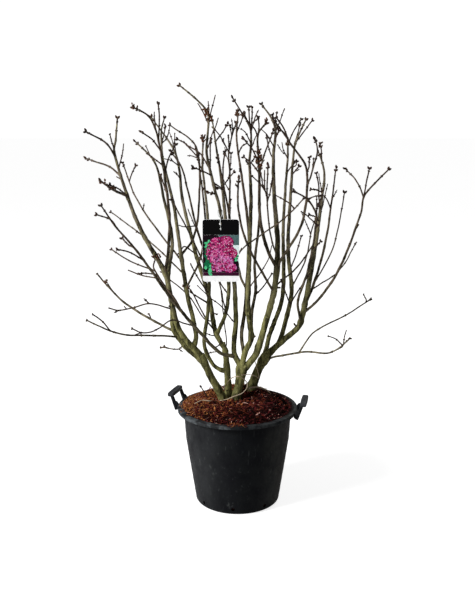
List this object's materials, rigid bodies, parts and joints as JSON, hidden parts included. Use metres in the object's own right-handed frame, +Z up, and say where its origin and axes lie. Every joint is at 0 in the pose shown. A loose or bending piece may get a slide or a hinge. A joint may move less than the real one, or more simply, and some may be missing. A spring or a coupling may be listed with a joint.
{
  "type": "potted lilac shrub",
  "caption": "Leafless lilac shrub with several stems branching into a bare budded crown, in a black nursery pot with side handles, bark mulch and a hanging label.",
  "frame": {"origin": "middle of the pot's flat underside, on the ground", "axes": "+Z up along the plant, -Y towards the viewer of the picture, +X to the viewer's right"},
  "size_m": [1.0826, 0.8429, 1.5756],
  "materials": {
    "pot_plastic": "black, dull and a little dusty",
    "bark_mulch": "red-brown shredded bark",
    "olive_bark": "olive-green bark of the older wood",
    "brown_bark": "grey-brown bark of the younger wood",
    "label_plastic": "printed glossy card",
    "tie_plastic": "pale translucent strap"
  },
  "bodies": {
    "root": {"back_cross_bough": "olive_bark", "back_left_bough": "olive_bark", "centre_bough": "olive_bark", "centre_front_shoot": "brown_bark", "centre_hidden_shoot": "brown_bark", "centre_left_bough": "olive_bark", "centre_twin_shoot": "brown_bark", "fan_front_twig": "brown_bark", "fan_left_bough": "brown_bark", "fan_right_bough": "brown_bark", "fan_right_twig": "brown_bark", "front_hanging_shoot": "brown_bark", "inner_back_shoot": "brown_bark", "inner_front_shoot": "brown_bark", "inner_left_shoot": "brown_bark", "inner_left_twig": "brown_bark", "knuckle_shoot": "brown_bark", "label": "label_plastic", "label_bough": "olive_bark", "label_tie": "tie_plastic", "left_back_bough": "olive_bark", "left_cross_shoot": "brown_bark", "left_cross_twig": "brown_bark", "left_front_bough": "olive_bark", "left_front_shoot": "brown_bark", "left_high_tip": "brown_bark", "left_inner_bough": "olive_bark", "left_low_tip": "brown_bark", "left_middle_tip": "brown_bark", "left_side_shoot_high": "brown_bark", "left_side_shoot_low": "brown_bark", "long_cross_twig": "brown_bark", "long_left_bough": "brown_bark", "low_right_shoot": "brown_bark", "low_right_twig": "brown_bark", "mulch": "bark_mulch", "pot": "pot_plastic", "pot_handle_left": "pot_plastic", "pot_handle_right": "pot_plastic", "right_back_shoot": "brown_bark", "right_back_twig": "brown_bark", "right_centre_bough": "olive_bark", "right_far_bough": "brown_bark", "right_far_tip": "brown_bark", "right_front_shoot": "brown_bark", "right_inner_bough": "olive_bark", "right_inner_twig": "brown_bark", "right_middle_bough": "olive_bark", "right_outer_bough": "olive_bark", "right_slim_shoot": "brown_bark", "right_thin_shoot": "brown_bark", "stem_back": "olive_bark", "stem_centre": "olive_bark", "stem_left": "olive_bark", "stem_right": "olive_bark"}
  },
  "joints": []
}
